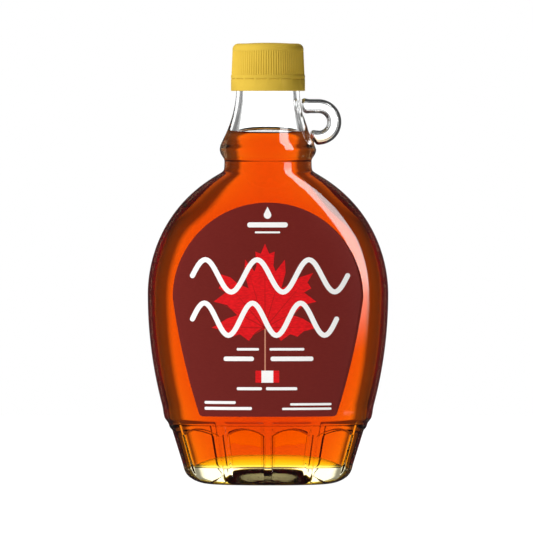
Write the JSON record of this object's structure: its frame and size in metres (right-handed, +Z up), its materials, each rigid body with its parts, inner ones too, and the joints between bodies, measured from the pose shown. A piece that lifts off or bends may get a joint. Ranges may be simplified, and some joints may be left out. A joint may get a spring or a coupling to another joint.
{
  "type": "syrup bottle",
  "caption": "Flat oval glass flask of maple syrup with a small ring handle at the neck, arched panels round its foot, a plastic screw cap and a front label.",
  "frame": {"origin": "middle of the base, on the plane that the bottle stands on", "axes": "+Z up along the neck, front with the label towards -Y, ring handle towards +X"},
  "size_m": [0.0962, 0.0425, 0.1764],
  "materials": {
    "clear_glass": "polished",
    "syrup": "polished",
    "cap_plastic": "satin",
    "label_paper": "satin"
  },
  "bodies": {
    "root": {"glass_bottle": "clear_glass", "maple_syrup": "syrup", "screw_cap": "cap_plastic", "front_label": "label_paper"}
  },
  "joints": []
}
